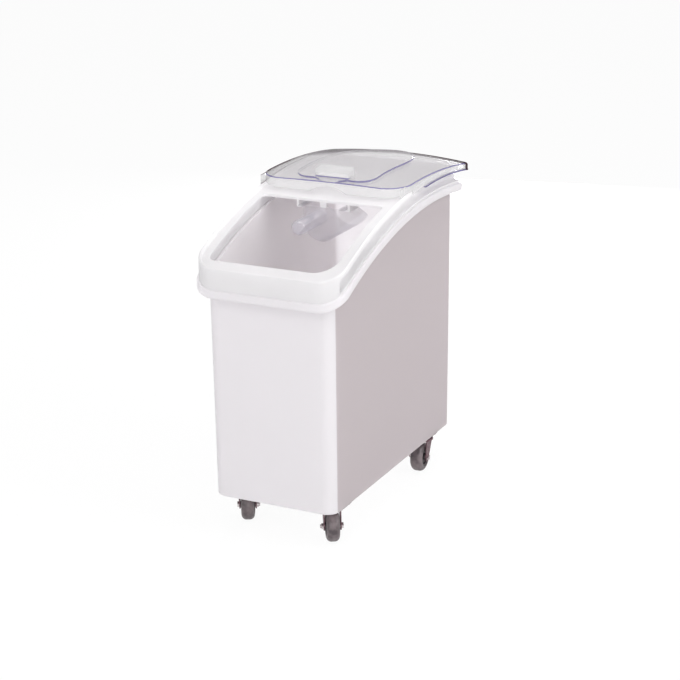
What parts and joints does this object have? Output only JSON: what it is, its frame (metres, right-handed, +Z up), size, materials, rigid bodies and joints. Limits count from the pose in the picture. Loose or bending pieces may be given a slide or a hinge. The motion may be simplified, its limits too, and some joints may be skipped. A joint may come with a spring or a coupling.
{
  "type": "rolling ingredient bin",
  "caption": "Tall slim kitchen ingredient bin with a slanted white hood, curved clear sliding lid, hanging clear scoop and swivel casters.",
  "frame": {"origin": "on the floor under the middle of the rim", "axes": "+X to the right seen from the front, -Y towards the slanted opening, +Z up"},
  "size_m": [0.3842, 0.749, 0.8297],
  "materials": {
    "white_tub": "smooth moulded white polyethylene, soft sheen",
    "white_hood": "smooth moulded white plastic, soft sheen",
    "clear_plastic": "clear polycarbonate, glossy",
    "clear_scoop": "clear polycarbonate, glossy",
    "zinc_steel": "dull zinc plate on pressed steel",
    "bright_steel": "bright zinc-plated steel",
    "hub_plastic": "dark grey moulded nylon",
    "tyre_rubber": "dark grey-brown rubber"
  },
  "bodies": {
    "bin": {"tub": "white_tub", "hood": "white_hood", "plate_bolts": "bright_steel", "plate_nuts": "bright_steel", "front_left_plate": "zinc_steel", "front_left_kingpin": "bright_steel", "front_right_plate": "zinc_steel", "front_right_kingpin": "bright_steel", "rear_left_plate": "zinc_steel", "rear_left_kingpin": "bright_steel", "rear_right_plate": "zinc_steel", "rear_right_kingpin": "bright_steel"},
    "lid": {"sliding_lid": "clear_plastic"},
    "scoop": {"scoop": "clear_scoop"},
    "front_left_swivel": {"front_left_fork": "zinc_steel", "front_left_axle": "bright_steel", "front_left_axle_nut": "bright_steel"},
    "front_left_wheel": {"front_left_wheel_hub": "hub_plastic", "front_left_tyre": "tyre_rubber"},
    "front_right_swivel": {"front_right_fork": "zinc_steel", "front_right_axle": "bright_steel", "front_right_axle_nut": "bright_steel"},
    "front_right_wheel": {"front_right_wheel_hub": "hub_plastic", "front_right_tyre": "tyre_rubber"},
    "rear_left_swivel": {"rear_left_fork": "zinc_steel", "rear_left_axle": "bright_steel", "rear_left_axle_nut": "bright_steel"},
    "rear_left_wheel": {"rear_left_wheel_hub": "hub_plastic", "rear_left_tyre": "tyre_rubber"},
    "rear_right_swivel": {"rear_right_fork": "zinc_steel", "rear_right_axle": "bright_steel", "rear_right_axle_nut": "bright_steel"},
    "rear_right_wheel": {"rear_right_wheel_hub": "hub_plastic", "rear_right_tyre": "tyre_rubber"}
  },
  "joints": [
    {"name": "lid_slide", "type": "hinge", "parent": "bin", "child": "lid", "pos_m": [0, 0.172, -0.4], "axis": [1, 0, 0], "range_deg": [0, 16]},
    {"name": "scoop_pull_out", "type": "slide", "parent": "bin", "child": "scoop", "axis": [0, -1, 0], "range_m": [0, 0.05]},
    {"name": "front_left_swivel_turn", "type": "hinge", "parent": "bin", "child": "front_left_swivel", "pos_m": [-0.113, -0.262, 0.08], "axis": [0, 0, 1], "continuous": true},
    {"name": "front_left_wheel_spin", "type": "hinge", "parent": "front_left_swivel", "child": "front_left_wheel", "pos_m": [-0.12058, -0.24679, 0.0375], "axis": [0.8949, 0.4462, 0], "continuous": true},
    {"name": "front_right_swivel_turn", "type": "hinge", "parent": "bin", "child": "front_right_swivel", "pos_m": [0.113, -0.262, 0.08], "axis": [0, 0, 1], "continuous": true},
    {"name": "front_right_wheel_spin", "type": "hinge", "parent": "front_right_swivel", "child": "front_right_wheel", "pos_m": [0.12201, -0.27642, 0.0375], "axis": [-0.848, -0.5299, 0], "continuous": true},
    {"name": "rear_left_swivel_turn", "type": "hinge", "parent": "bin", "child": "rear_left_swivel", "pos_m": [-0.128, 0.227, 0.08], "axis": [0, 0, 1], "continuous": true},
    {"name": "rear_left_wheel_spin", "type": "hinge", "parent": "rear_left_swivel", "child": "rear_left_wheel", "pos_m": [-0.13037, 0.21016, 0.0375], "axis": [-0.9903, 0.1392, 0], "continuous": true},
    {"name": "rear_right_swivel_turn", "type": "hinge", "parent": "bin", "child": "rear_right_swivel", "pos_m": [0.128, 0.227, 0.08], "axis": [0, 0, 1], "continuous": true},
    {"name": "rear_right_wheel_spin", "type": "hinge", "parent": "rear_right_swivel", "child": "rear_right_wheel", "pos_m": [0.12919, 0.21004, 0.0375], "axis": [-0.9976, -0.0698, 0], "continuous": true}
  ]
}
